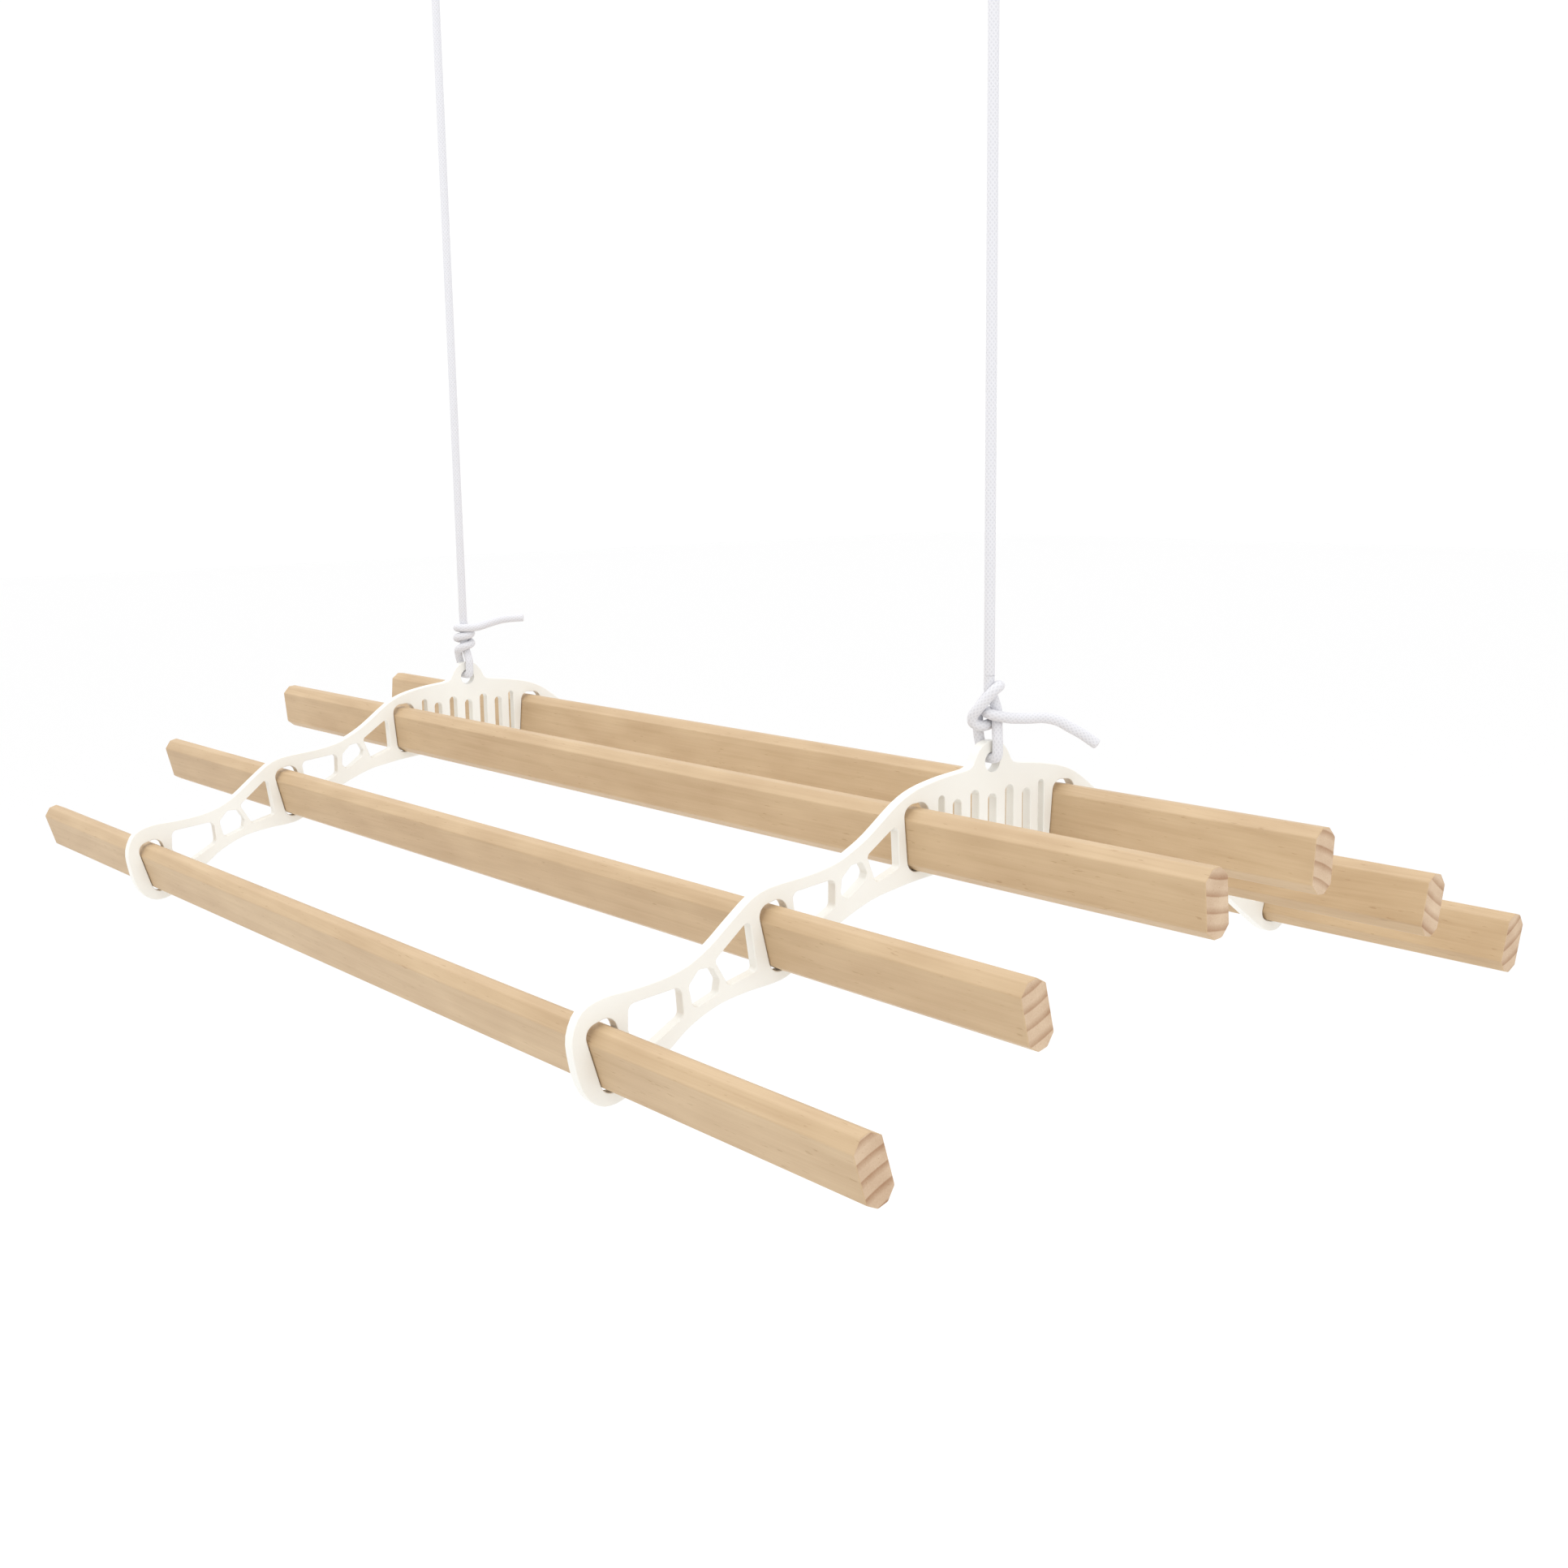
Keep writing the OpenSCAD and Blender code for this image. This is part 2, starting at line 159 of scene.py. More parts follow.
def braidedPolyester():
    # White plaited cord: a fine diamond of strands, matt, with shade painted into the colour between
    # them
    material = newMaterial("braidedPolyester")
    place = addNode(material, "UVMap", uv_map="braid").outputs[0]
    strands = []
    for lean in (1, -1):
        laid = addNode(
            material, "Mapping",
            {"Scale": (
                2 * pi * braid["strandsEachWay"] / 10,
                lean * 2 * pi / (10 * braid["plaitLength"]), 0)},
            {"Vector": place})
        strands.append(addNode(
            material, "TexWave", {"Scale": 1, "Distortion": 0}, {"Vector": laid.outputs[0]},
            bands_direction="DIAGONAL"))
    plait = addNode(
        material, "Math", links={0: strands[0].outputs["Fac"], 1: strands[1].outputs["Fac"]},
        operation="MAXIMUM")
    fibre = addNode(
        material, "TexNoise", {"Scale": 1800, "Detail": 3, "Roughness": 0.6},
        {"Vector": addNode(material, "TexCoord").outputs["Object"]})
    shade = addNode(  # inputs 6 and 7 are the two colours, the painted shade between strands and the raised strand
        material, "Mix", {6: linearColour(braid["groovePaintedShade"]), 7: linearColour(braid["raised"])},
        {0: plait.outputs[0]}, data_type="RGBA")
    strandBump = addNode(
        material, "Bump", {"Strength": 0.4, "Distance": 0.3 * mm}, {"Height": plait.outputs[0]})
    fibreBump = addNode(
        material, "Bump", {"Strength": 0.25, "Distance": 0.1 * mm},
        {"Height": fibre.outputs["Fac"], "Normal": strandBump.outputs[0]})
    return finishMaterial(
        material, {"Roughness": 0.8, "Sheen Weight": 0.25, "Sheen Roughness": 0.5},
        {"Base Color": shade.outputs[2], "Normal": fibreBump.outputs[0]})


def castIronEnamel():
    # Stove enamel over sand-cast iron: warm white, soft gloss, faint orange peel over
    # the slow waves of the casting, a touch greyer where the coat is thin
    material = newMaterial("castIronEnamel")
    place = addNode(material, "TexCoord").outputs["Object"]
    patches = addNode(material, "TexNoise", {"Scale": 14, "Detail": 3}, {"Vector": place})
    ramp = addNode(material, "ValToRGB", links={"Fac": patches.outputs["Fac"]})
    ramp.color_ramp.elements[0].position = 0.3
    ramp.color_ramp.elements[0].color = linearColour("#ebe9e2")
    ramp.color_ramp.elements[1].position = 0.7
    ramp.color_ramp.elements[1].color = linearColour("#f0efe9")
    peel = addNode(  # orange peel, about 2.5 mm from crest to crest
        material, "TexNoise", {"Scale": 400, "Detail": 2, "Roughness": 0.45}, {"Vector": place})
    waves = addNode(  # the sand mould's slow waves, about 15 mm
        material, "TexNoise", {"Scale": 65, "Detail": 2}, {"Vector": place})
    gloss = addNode(
        material, "MapRange", {"To Min": 0.3, "To Max": 0.46}, {"Value": waves.outputs["Fac"]})
    waveBump = addNode(
        material, "Bump", {"Strength": 0.5, "Distance": 0.4 * mm}, {"Height": waves.outputs["Fac"]})
    peelBump = addNode(
        material, "Bump", {"Strength": 0.35, "Distance": 0.12 * mm},
        {"Height": peel.outputs["Fac"], "Normal": waveBump.outputs[0]})
    return finishMaterial(
        material, {"Coat Weight": 0.15, "Coat Roughness": 0.25},
        {"Base Color": ramp.outputs[0], "Roughness": gloss.outputs[0], "Normal": peelBump.outputs[0]})


board = {
    "ringGap": 10 * mm,
    "ringWander": 2.4,
    "alongSqueeze": 0.06,         # rings change slowly along the board
    "cloudScale": (14, 50, 50),   # per metre, clouds some 70 by 20 mm
    "streakScale": (90, 900, 900),
    "streakShare": 0.45,
    "fibreShare": 0.5,
    "cloudShare": 0.9,
    "paleness": 0.45,             # taken off the sum of all of them
}


def pine(name, spring, summer, ringShare, fibreScale, roughness, bumpDepth):
    # Growth rings round a pith outside the lath, with fibres along it, slow clouds and
    # short dark resin streaks. The grain attribute is the place in the board: along, and
    # across from the pith.
    material = newMaterial(name)
    place = addNode(material, "Attribute", attribute_name="grain").outputs["Vector"]
    along = addNode(material, "Mapping", {"Scale": (board["alongSqueeze"], 1, 1)}, {"Vector": place})
    rings = addNode(
        material, "TexWave",
        {"Scale": 2 * pi / (20 * board["ringGap"]), "Distortion": board["ringWander"],
         "Detail": 2, "Detail Scale": 0.3},
        {"Vector": along.outputs[0]},
        wave_type="RINGS", rings_direction="X", wave_profile="SAW")
    ring = addNode(material, "ValToRGB", links={"Fac": rings.outputs["Fac"]})
    ring.color_ramp.elements[0].color = (0, 0, 0, 1)
    ring.color_ramp.elements[0].position = 0.5
    ring.color_ramp.elements[1].color = (1, 1, 1, 1)
    ring.color_ramp.elements[1].position = 0.92
    ring.color_ramp.elements.new(0.995).color = (0, 0, 0, 1)
    stretched = {
        what: addNode(material, "Mapping", {"Scale": scale}, {"Vector": place}).outputs[0]
        for what, scale in (
            ("fibres", fibreScale), ("clouds", board["cloudScale"]), ("dashes", board["streakScale"]))}
    fibres = addNode(
        material, "TexNoise", {"Scale": 1, "Detail": 4, "Roughness": 0.6},
        {"Vector": stretched["fibres"]})
    clouds = addNode(
        material, "TexNoise", {"Scale": 1, "Detail": 2}, {"Vector": stretched["clouds"]})
    dashes = addNode(  # resin streaks, about 6 mm long and half a millimetre wide
        material, "TexNoise", {"Scale": 1, "Detail": 1}, {"Vector": stretched["dashes"]})
    streaks = addNode(
        material, "MapRange",
        {"From Min": 0.7, "From Max": 0.76, "To Min": 0.0, "To Max": board["streakShare"]},
        {"Value": dashes.outputs["Fac"]})
    ringPart = addNode(
        material, "Math", {1: ringShare}, {0: ring.outputs[0], 2: streaks.outputs[0]},
        operation="MULTIPLY_ADD")
    fibrePart = addNode(
        material, "Math", {1: board["fibreShare"]},
        {0: fibres.outputs["Fac"], 2: ringPart.outputs[0]}, operation="MULTIPLY_ADD")
    cloudPart = addNode(
        material, "Math", {1: board["cloudShare"]},
        {0: clouds.outputs["Fac"], 2: fibrePart.outputs[0]}, operation="MULTIPLY_ADD")
    total = addNode(
        material, "Math", {1: board["paleness"]}, {0: cloudPart.outputs[0]},
        operation="SUBTRACT", use_clamp=True)
    colour = addNode(material, "ValToRGB", links={"Fac": total.outputs[0]})
    colour.color_ramp.elements[0].color = linearColour(spring)
    colour.color_ramp.elements[1].color = linearColour(summer)
    bump = addNode(
        material, "Bump", {"Strength": 0.4, "Distance": bumpDepth}, {"Height": fibres.outputs["Fac"]})
    return finishMaterial(
        material, {"Roughness": roughness, "Specular IOR Level": 0.6},
        {"Base Color": colour.outputs[0], "Normal": bump.outputs[0]})


def mouldedNylon():
    # Off-white nylon, moulded: waxy half gloss, very slight cloudiness
    material = newMaterial("mouldedNylon")
    place = addNode(material, "TexCoord").outputs["Object"]
    clouds = addNode(material, "TexNoise", {"Scale": 60, "Detail": 3}, {"Vector": place})
    ramp = addNode(material, "ValToRGB", links={"Fac": clouds.outputs["Fac"]})
    ramp.color_ramp.elements[0].color = linearColour("#d9d6ca")
    ramp.color_ramp.elements[1].color = linearColour("#e6e4db")
    grain = addNode(material, "TexNoise", {"Scale": 1500, "Detail": 2}, {"Vector": place})
    bump = addNode(
        material, "Bump", {"Strength": 0.2, "Distance": 0.05 * mm}, {"Height": grain.outputs["Fac"]})
    return finishMaterial(
        material, {"Roughness": 0.42, "IOR": 1.53, "Subsurface Weight": 0.08},
        {"Base Color": ramp.outputs[0], "Normal": bump.outputs[0]})


def zincPlatedSteel():
    # Bright zinc on turned steel: pale blue-grey metal with fine turning marks
    material = newMaterial("zincPlatedSteel")
    place = addNode(material, "TexCoord").outputs["Object"]
    lathe = addNode(material, "Mapping", {"Scale": (300, 3000, 300)}, {"Vector": place})
    turned = addNode(
        material, "TexNoise", {"Scale": 1, "Detail": 3}, {"Vector": lathe.outputs[0]})
    gloss = addNode(
        material, "MapRange", {"To Min": 0.24, "To Max": 0.42}, {"Value": turned.outputs["Fac"]})
    bump = addNode(
        material, "Bump", {"Strength": 0.2, "Distance": 0.03 * mm}, {"Height": turned.outputs["Fac"]})
    return finishMaterial(
        material, {"Base Color": linearColour("#c6c9cc"), "Metallic": 1},
        {"Roughness": gloss.outputs[0], "Normal": bump.outputs[0]})


rope = braidedPolyester()
enamel = castIronEnamel()
planedPine = pine(
    "planedPine", spring="#cbb08b", summer="#a98963", ringShare=0.1,
    fibreScale=(10, 700, 700), roughness=0.5, bumpDepth=0.1 * mm)
sawnPine = pine(
    "sawnPineEnd", spring="#d3bb9f", summer="#a07b5c", ringShare=0.6,
    fibreScale=(900, 900, 900), roughness=0.8, bumpDepth=0.15 * mm)
nylon = mouldedNylon()
zinc = zincPlatedSteel()
print("materials")


# Ropes

ropes = {
    "diameter": 7.5 * mm,
    "sides": 16,
    "endX": 0.355,
    "top": -0.036,          # where a rope meets its pulley wheel
    "knotTop": -0.6955,
    "lathLevel": -0.800,    # the level that a knot's route is measured from
    "cleatX": 0.5,
    "liftTravel": 0.56,
    "knotStep": 1.2 * mm,   # from ring to ring of the tube
    "turnStep": 1.6 * mm,
    "runStep": 3 * mm,
    "dropStep": 6 * mm,
    # a melted end: two rings, each with its share of the last one's width and its step out
    "meltedRims": ((0.93, 0.5 * mm), (0.74, 0.4 * mm)),
}

# Millimetres from the middle of the rack end at the top laths' level. Down from the
# rope, through the lug, up again, round the rope twice and out as the tail.
knotRight = [
    (0, 0, 104.5), (-0.3, 0.1, 99), (-0.2, 0.2, 94.3), (1.2, 1.7, 90.2), (2.3, 2.8, 86.1),
    (3.6, 3.3, 82.1), (4.4, 3.3, 77.9), (5.1, 2.6, 73.8), (6.2, 1.6, 69.6), (7.2, 0.7, 65.2),
    (8.2, 0, 60.9), (8.2, 0, 56.2), (8.2, 0, 51.2), (7.1, 0, 48.5), (4.6, 0, 47.6),
    (0, 0, 47.6), (-4.6, 0, 47.6), (-7.1, 0, 48.5), (-8.2, 0, 51.2), (-8.2, 0, 56),
    (-8.4, -1.2, 61.6), (-8.4, -1.8, 65.8), (-8.5, -2.2, 70), (-8.9, -2, 75.6),
    (-9.5, -1.1, 79.8), (-8.5, 1, 83.9), (-7, 3.1, 87.3), (-5.4, 5.2, 90.7), (-2.9, 7.1, 94.2),
    (0.8, 7.2, 96.5), (4.5, 5.4, 97.3), (6.7, 1.4, 96.8), (6.7, -2.4, 94.8), (5.2, -5.3, 91.4),
    (3.3, -7.6, 87.8), (1.1, -9.6, 84.3), (-1.2, -11.2, 81), (-3.6, -12, 77.4),
    (-4.3, -11.2, 72.7), (-1.9, -7.5, 70.2), (-0.8, -3.4, 70.1), (-1.5, 1.1, 70.4),
    (-1.4, 5.4, 71.5), (-2.9, 8.3, 75.5), (-4.4, 5.9, 78.3), (-2.9, 1.9, 78.7),
    (-1.1, -2.2, 79.5), (2.9, -4, 78.9), (7.1, -3.7, 78.1), (11.1, -0.3, 77.1), (12.5, 3.6, 76.2),
    (13.7, 7.6, 75.4), (14.7, 11.8, 75), (18.5, 20.3, 74.5), (24.1, 28.9, 74.6), (30, 36.1, 72.6),
    (35.1, 42.3, 68.2), (40.9, 49.2, 63), (47.3, 56.9, 56),
]
knotLeft = [
    (0, 0, 104.5), (0.1, 0.2, 99), (0.6, 0.8, 94.5), (0.6, 0, 90.1), (-0.3, 0.4, 85.8),
    (0.7, 0, 81.6), (-0.1, -0.3, 77.3), (0.7, 0.8, 73.2), (3.4, 0.5, 69.4), (6.1, 0.2, 65.1),
    (8.3, 0, 60.9), (8.2, 0, 56.2), (8.2, 0, 51.2), (7.1, 0, 48.5), (4.6, 0, 47.6), (0, 0, 47.6),
    (-4.6, 0, 47.6), (-7.1, 0, 48.5), (-8.2, 0, 51.2), (-8.2, 0, 56), (-8.1, -0.7, 60.1),
    (-7, -2.3, 64.2), (-5, -4.1, 68.7), (-2, -5.9, 71.3), (1.8, -6.5, 73.3), (5.5, -4.7, 75),
    (7.2, -0.6, 76.4), (6.2, 3.6, 77.4), (3, 6.4, 78.3), (-1.2, 6.8, 79.2), (-5, 4.7, 80.2),
    (-6.8, 0.9, 81.4), (-6, -3.2, 82.6), (-3.1, -6.1, 83.6), (2.2, -6.5, 84.8), (5.6, -4.1, 85.5),
    (7.1, -0.3, 86.2), (6.2, 3.8, 87), (3, 6.6, 88.1), (-1.4, 7.1, 89.3), (-5, 4.8, 90.6),
    (-6.6, 0.9, 91.9), (-5.6, -3.1, 92.9), (-1.4, -6.3, 93.6), (2.8, -6.3, 93.8), (7, -3, 93.6),
    (8.7, 0.9, 93.6), (10.3, 5.1, 93.7), (12.1, 9.5, 94.3), (13.8, 13.3, 95.3), (18.8, 21.6, 98.4),
    (24.3, 29.2, 100.8), (30, 36.1, 101.9), (37, 45, 102.4),
]
leftRun = [  # metres, over the single wheel, across, over the double pulley to the cleat
    (-0.355, 0, -0.036), (-0.3532, 0, -0.0272), (-0.3483, 0, -0.0197), (-0.3408, 0, -0.0148),
    (-0.332, 0, -0.013), (-0.31, 0.0005, -0.013), (-0.2, 0.0031, -0.013), (-0.09, 0.0055, -0.013),
    (0.02, 0.008, -0.013), (0.13, 0.0105, -0.013), (0.24, 0.013, -0.013), (0.356, 0.0155, -0.013),
    (0.378, 0.016, -0.013), (0.4, 0.016, -0.013), (0.43, 0.0145, -0.013), (0.462, 0.0122, -0.013),
]
rightRun = [
    (0.355, 0, -0.036), (0.3568, 0, -0.0272), (0.3617, 0, -0.0197), (0.3692, 0, -0.0148),
    (0.378, 0, -0.013), (0.4, -0.002, -0.013), (0.43, -0.007, -0.013), (0.462, -0.0112, -0.013),
]
# Millimetres from the middle of the cleat hook's seat. Each rope goes along the stem,
# round the far horn, across, round the near horn, across again, and hangs.
leftTurns = [
    (-38, 12.2, -13), (-26, 11.6, -13.2), (-8, 11.2, -14), (12, 11.2, -15), (26, 9.6, -16.5),
    (34, 3.5, -17.5), (34, -4, -18.5), (28, -9.4, -23), (17, -8.6, -33.5), (6, -3.2, -39.5),
    (-6, 3.2, -39.5), (-17, 8.6, -33.5), (-27, 9.8, -23), (-34, 4.2, -18), (-34, -4, -18),
    (-27, -9.8, -23.5), (-17, -9.4, -35), (-6, -4.4, -45.5), (6, 3.2, -46.5), (16, 9.6, -41),
    (24, 14, -44), (28.5, 17, -54), (30, 18.4, -68), (30.4, 19, -84), (30.2, 19.2, -100),
]
rightTurns = [
    (-38, -11.2, -13), (-26, -11.4, -10.8), (-8, -11.2, -10.2), (12, -11.2, -9.8),
    (28, -10.4, -10.4), (38, -5, -12), (41, 2, -14), (37.5, 9.6, -21), (26, 12.6, -33),
    (14, 9.6, -46), (4, 3.6, -52.5), (-6, -3.2, -53), (-16, -9, -46), (-27, -13, -34),
    (-37, -10.4, -22), (-41, -3, -15), (-40, 5, -15), (-34, 10.6, -23), (-25, 13, -36),
    (-18.5, 15, -50), (-16, 16.4, -66), (-15.4, 17, -82), (-15.6, 17, -96),
]


def smoothRoute(points, step, scale=1.0, start=(0, 0, 0)):
    # A curve through the points, with a new point about every step
    route = [Vector(point) * scale + Vector(start) for point in points]
    route = [2 * route[0] - route[1], *route, 2 * route[-1] - route[-2]]
    smooth = []
    for a, b, c, d in zip(route, route[1:], route[2:], route[3:]):
        count = max(2, round((c - b).length / step) + 1)
        smooth += interpolate_bezier(b, b + (c - a) / 6, c - (d - b) / 6, c, count)[:-1]
    return smooth + [route[-2]]


def sweepRope(name, route, body, nodes=(), endRound=False):
    # A round tube along the route. The braid map runs once round and, in metres, along.
    sides = ropes["sides"]
    radius = ropes["diameter"] / 2
    bm = bmesh.new()
    turnLayer = bm.verts.layers.float.new("turn")
    runLayer = bm.verts.layers.float.new("run")
    ring = bmesh.ops.create_circle(bm, radius=radius, segments=sides)["verts"]
    for k, vert in enumerate(ring):
        vert[turnLayer] = k / sides
    facing = (route[1] - route[0]).normalized()
    turn = Vector((0, 0, 1)).rotation_difference(facing).to_matrix().to_4x4()
    bmesh.ops.transform(bm, matrix=Matrix.Translation(route[0]) @ turn, verts=ring)
    edges = bm.edges[:]
    first, run = edges[:], 0
    for k in range(1, len(route)):
        ahead = (route[min(k + 1, len(route) - 1)] - route[k - 1]).normalized()
        swing = facing.rotation_difference(ahead).to_matrix().to_4x4()
        made = bmesh.ops.extrude_edge_only(bm, edges=edges)["geom"]
        ring = [part for part in made if isinstance(part, bmesh.types.BMVert)]
        inRing = set(ring)
        edges = [
            part for part in made
            if isinstance(part, bmesh.types.BMEdge) and all(v in inRing for v in part.verts)]
        move = Matrix.Translation(route[k]) @ swing @ Matrix.Translation(-route[k - 1])
        bmesh.ops.transform(bm, matrix=move, verts=ring)
        run += (route[k] - route[k - 1]).length
        for vert in ring:
            vert[runLayer] = run
        facing = ahead
    if endRound:  # the cut end is melted a little, so its rim is round
        for share, step in ropes["meltedRims"]:
            made = bmesh.ops.extrude_edge_only(bm, edges=edges)["geom"]
            ring = [part for part in made if isinstance(part, bmesh.types.BMVert)]
            inRing = set(ring)
            edges = [
                part for part in made
                if isinstance(part, bmesh.types.BMEdge) and all(v in inRing for v in part.verts)]
            middle = sum((v.co for v in ring), Vector()) / len(ring)
            bmesh.ops.scale(
                bm, vec=Vector((share, share, share)), verts=ring, space=Matrix.Translation(-middle))
            bmesh.ops.translate(bm, vec=facing * step, verts=ring)
    bmesh.ops.edgeloop_fill(bm, edges=first)
    bmesh.ops.edgeloop_fill(bm, edges=edges)
    bmesh.ops.recalc_face_normals(bm, faces=bm.faces)
    braidMap = bm.loops.layers.uv.new("braid")
    for face in bm.faces:
        turns = [loop.vert[turnLayer] for loop in face.loops]
        wraps = len(face.loops) == 4 and max(turns) - min(turns) > 0.5
        for loop, turned in zip(face.loops, turns):
            loop[braidMap].uv = (turned + (1 if wraps and turned < 0.5 else 0), loop.vert[runLayer])
    return newPiece(name, bm, body, [rope], nodes, smoothAngle=60)


def makeRopes():
    bothRopes = (
        ("left", -ropes["endX"], knotLeft, leftRun, leftTurns),
        ("right", ropes["endX"], knotRight, rightRun, rightTurns),
    )
    for side, x, knotRoute, runRoute, turnsRoute in bothRopes:
        level = (x, 0, ropes["lathLevel"])
        knot = sweepRope(
            f"knotted_end_{side}", smoothRoute(knotRoute, ropes["knotStep"], mm, level), "hangers",
            [f"knot_{side}"], endRound=True)
        drop = [Vector((x, 0, ropes["top"])), Vector((x, 0, ropes["knotTop"]))]
        dropRoute = smoothRoute(drop, ropes["dropStep"])
        hanging = sweepRope(f"rope_drop_{side}", dropRoute, "hangers", [f"hanging_rope_{side}"])
        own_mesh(hanging)
        turns = sweepRope(
            f"rope_turns_{side}",
            smoothRoute(turnsRoute, ropes["turnStep"], mm, (ropes["cleatX"], 0, 0)),
            "ceiling_fittings", ["cleat_turns"], endRound=True)
        run = smoothRoute(runRoute, ropes["runStep"])
        over = sweepRope(
            f"rope_run_{side}", run, "ceiling_fittings", [f"overhead_rope_{side}"])


makeRopes()
print("ropes")


# Laths

laths = {
    "level": -0.800,  # of the two top laths' middles
    "length": 1.2,
    "height": 42.5 * mm,
    "thickness": 20.7 * mm,
    "chamferAcross": 6.8 * mm,
    "chamferDown": 6.2 * mm,
    "edgeRound": 0.8 * mm,
    "sawnEdge": 0.4 * mm,
    "stretches": 24,
    "slides": (-20, -28, 0, -22, -15, -26),  # millimetres along X
    # out from the middle, up from the level, and degrees of lean, outermost lath first
    "places": ((315.8, -99.2, 16.6), (187.4, -47.3, 13.4), (68.5, 0, 4.9)),
    # where each board's pith lies from it, in millimetres, and how the board runs off it
    "piths": ((18, -92, 6), (-14, 78, -9), (22, 84, 5), (-26, -78, 8), (24, 88, -6), (-30, 66, 10)),
}


def makeLath(number):
    side = -1 if number < 3 else 1
    y, z, lean = laths["places"][number if number < 3 else 5 - number]
    w, h = laths["thickness"] / 2, laths["height"] / 2
    a, b = laths["chamferAcross"], laths["chamferDown"]
    section = [(w, h - b), (w - a, h), (a - w, h), (-w, h - b)]
    section += [(p, -q) for p, q in reversed(section)]
    bm = bmesh.new()
    start = -laths["length"] / 2
    face = bm.faces.new([bm.verts.new((start, p, q)) for p, q in section])
    bmesh.ops.bevel(
        bm, geom=bm.verts[:], offset=laths["edgeRound"], offset_type="OFFSET", segments=4,
        profile=0.5, affect="VERTICES", material=-1)
    made = bmesh.ops.extrude_face_region(bm, geom=bm.faces[:])["geom"]
    far = [part for part in made if isinstance(part, bmesh.types.BMVert)]
    bmesh.ops.translate(bm, vec=(laths["length"], 0, 0), verts=far)
    bmesh.ops.recalc_face_normals(bm, faces=bm.faces)
    ends = [f for f in bm.faces if abs(f.normal.x) > 0.9]
    for f in ends:
        f.material_index = 1
    rims = list({e for f in ends for e in f.edges})
    bmesh.ops.bevel(
        bm, geom=rims, offset=laths["sawnEdge"], segments=1, profile=0.5, affect="EDGES", material=0)
    for k in range(1, laths["stretches"]):
        cut = start + laths["length"] * k / laths["stretches"]
        bmesh.ops.bisect_plane(
            bm, geom=bm.verts[:] + bm.edges[:] + bm.faces[:], plane_co=(cut, 0, 0), plane_no=(1, 0, 0))
    grain = bm.verts.layers.float_vector.new("grain")
    pithY, pithZ, drift = laths["piths"][number]
    for vert in bm.verts:
        x, across, up = vert.co
        off = drift * mm * (2 * x / laths["length"] + 0.5 * sin(5 * x + number))
        vert[grain] = (x + 2.3 * number, across - pithY * mm + off, up - pithZ * mm + off)
    place = (
        Matrix.Translation((laths["slides"][number] * mm, side * y * mm, z * mm + laths["level"]))
        @ Matrix.Rotation(radians(-side * lean), 4, "X"))
    bmesh.ops.transform(bm, matrix=place, verts=bm.verts)
    newPiece(
        f"pine_lath_{number + 1}", bm, "rack", [planedPine, sawnPine],
        [f"lath_{number + 1}"], smoothAngle=28)


for number in range(6):
    makeLath(number)
print("laths")


# Castings, wheels and pins, each from its frame solid with its edges eased

castings = {
    "rack_end_left": ("cast_end_left", "rack", 0.7 * mm),
    "rack_end_right": ("cast_end_right", "rack", 0.7 * mm),
    "single_pulley_bracket": ("single_bracket_casting", "ceiling_fittings", 0.6 * mm),
    "double_pulley_bracket": ("double_bracket_casting", "ceiling_fittings", 0.6 * mm),
    "cleat_hook": ("cleat_casting", "ceiling_fittings", 0.8 * mm),
}
wheels = {
    "single_pulley_wheel": ("single_wheel_moulding", "single_wheel"),
    "double_pulley_wheel_near": ("double_wheel_near_moulding", "double_wheel_near"),
    "double_pulley_wheel_far": ("double_wheel_far_moulding", "double_wheel_far"),
}


easing = {
    "mergeWithin": 0.002 * mm,
    "flatWithin": 0.3,   # degrees, faces this close to level become one
    "sharpOver": 35,     # degrees, edges over this are rounded
    "shadeOver": 40,
}


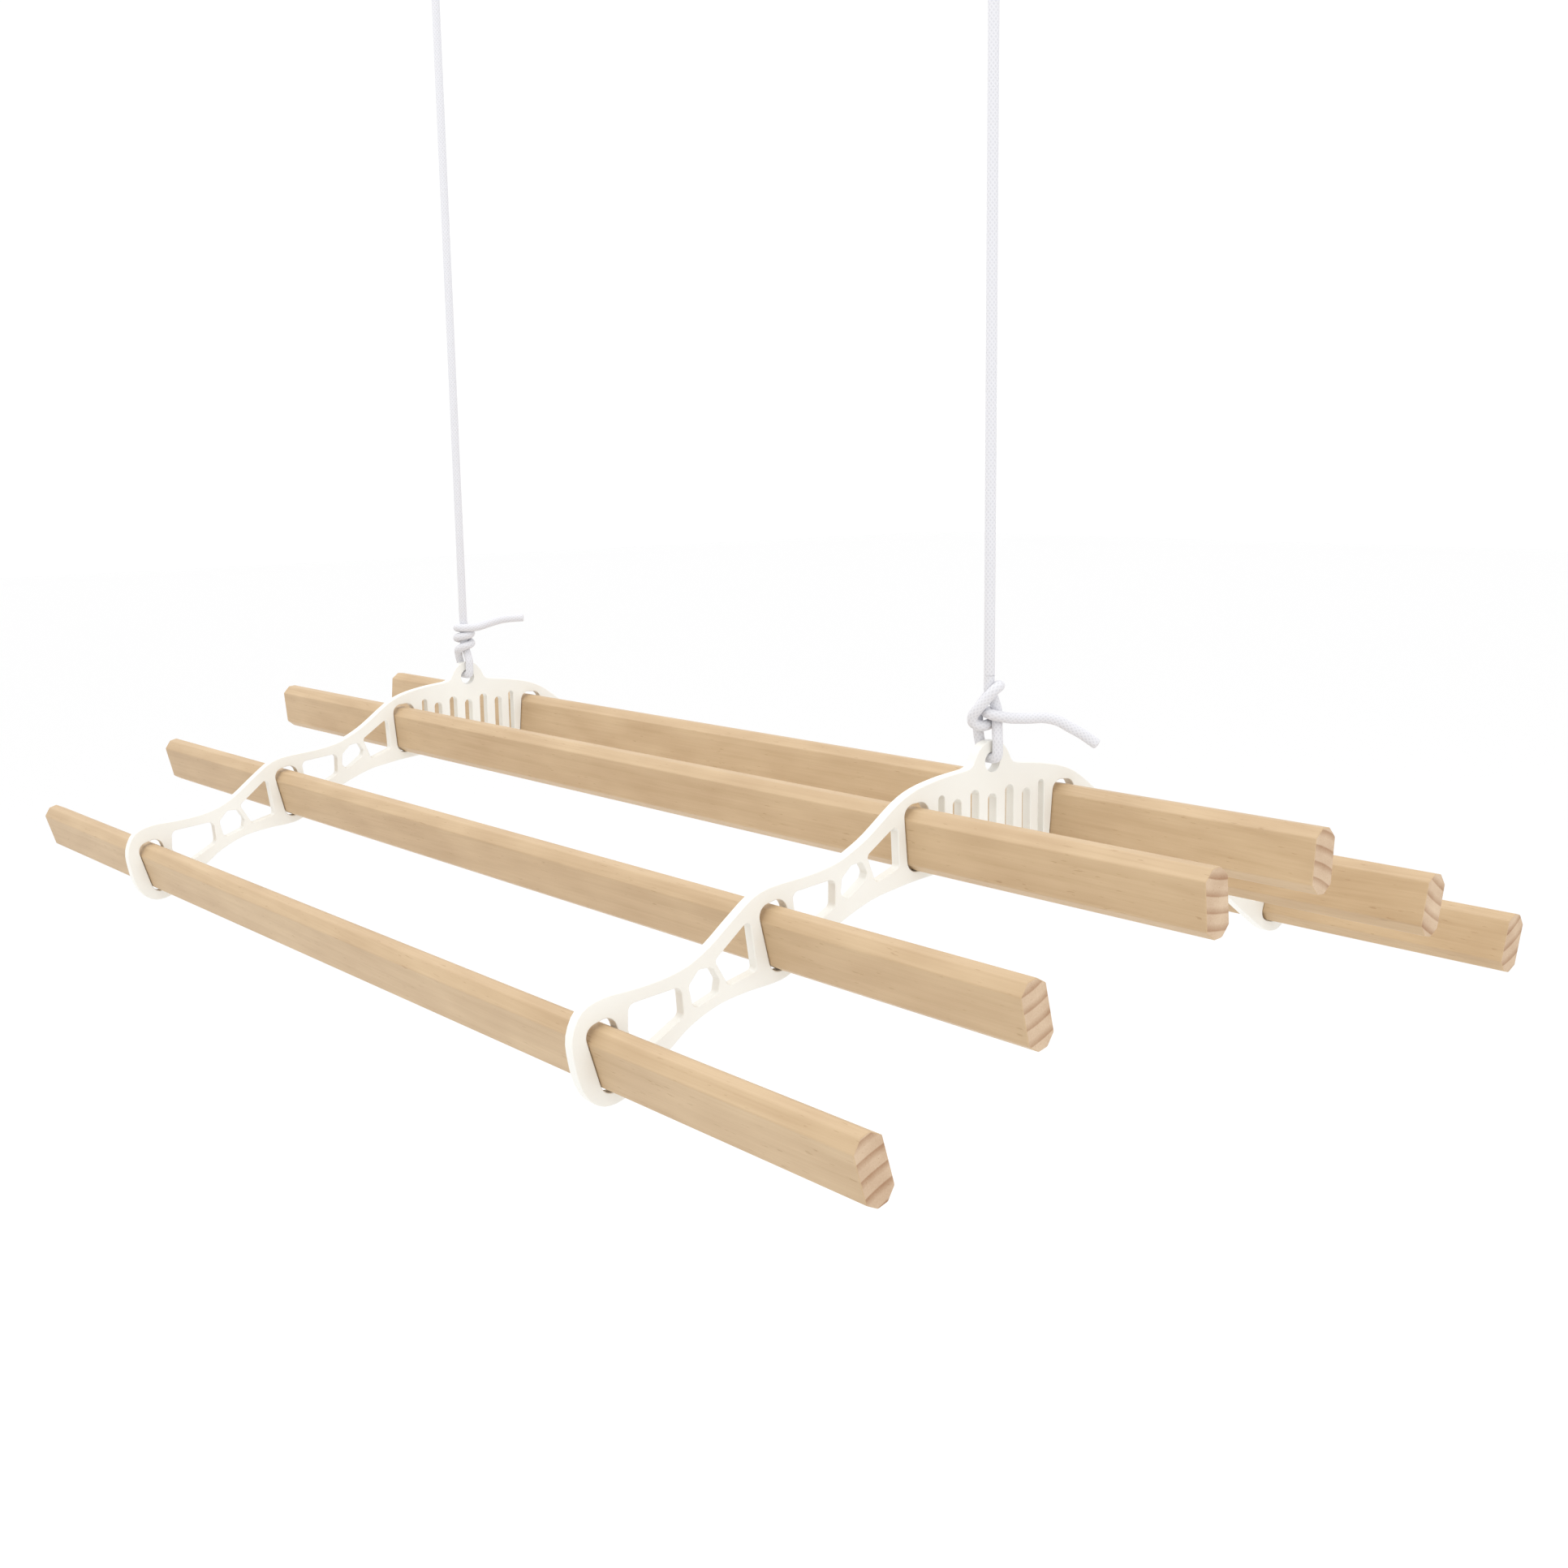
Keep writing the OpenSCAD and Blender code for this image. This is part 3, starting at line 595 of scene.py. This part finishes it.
def easedCopy(node, name, body, material, edge, steps=3):
    bm = bmesh.new()
    bm.from_mesh(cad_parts[node].data)
    bmesh.ops.remove_doubles(bm, verts=bm.verts, dist=easing["mergeWithin"])
    bmesh.ops.dissolve_limit(
        bm, angle_limit=radians(easing["flatWithin"]), verts=bm.verts, edges=bm.edges,
        use_dissolve_boundaries=False)
    sharp = [
        e for e in bm.edges if e.is_manifold and e.calc_face_angle() > radians(easing["sharpOver"])]
    bmesh.ops.bevel(
        bm, geom=sharp, offset=edge, offset_type="OFFSET", segments=steps, profile=0.5,
        affect="EDGES", material=-1, clamp_overlap=False)
    return newPiece(
        name, bm, body, [material], [node], smoothAngle=easing["shadeOver"])


for node, (name, body, edge) in castings.items():
    easedCopy(node, name, body, enamel, edge)
for node, (name, body) in wheels.items():
    easedCopy(node, name, body, nylon, 0.35 * mm, steps=2)
for node in ("single_pulley_axle", "double_pulley_axle", "double_pulley_washer"):
    easedCopy(node, node + "_turned", "ceiling_fittings", zinc, 0.4 * mm, steps=2)
print("castings")


# Floor and light

def makeStudio():
    bm = bmesh.new()
    bmesh.ops.create_grid(bm, x_segments=1, y_segments=1, size=studio["floorSize"] / 2)
    bmesh.ops.translate(bm, vec=(0, 0, studio["floorLevel"]), verts=bm.verts)
    mesh = bpy.data.meshes.new("studioFloor")
    bm.to_mesh(mesh)
    bm.free()
    floor = bpy.data.objects.new("studioFloor", mesh)
    scene.collection.objects.link(floor)
    paper = newMaterial("whitePaper")
    mesh.materials.append(finishMaterial(
        paper, {"Base Color": linearColour(studio["floorColour"]), "Roughness": 0.9}, {}))
    world = bpy.data.worlds.new("studio")
    world.use_nodes = True
    world.node_tree.nodes["Background"].inputs[0].default_value = (1, 1, 1, 1)
    world.node_tree.nodes["Background"].inputs[1].default_value = studio["worldStrength"]
    scene.world = world
    for name, (place, size, power) in studio["lights"].items():
        data = bpy.data.lights.new(name, "AREA")
        data.size = size
        data.energy = power
        light = bpy.data.objects.new(name, data)
        light.location = place
        aim = Vector(studio["aim"]) - Vector(place)
        light.rotation_euler = aim.to_track_quat("-Z", "Y").to_euler()
        scene.collection.objects.link(light)


makeStudio()
print("studio")
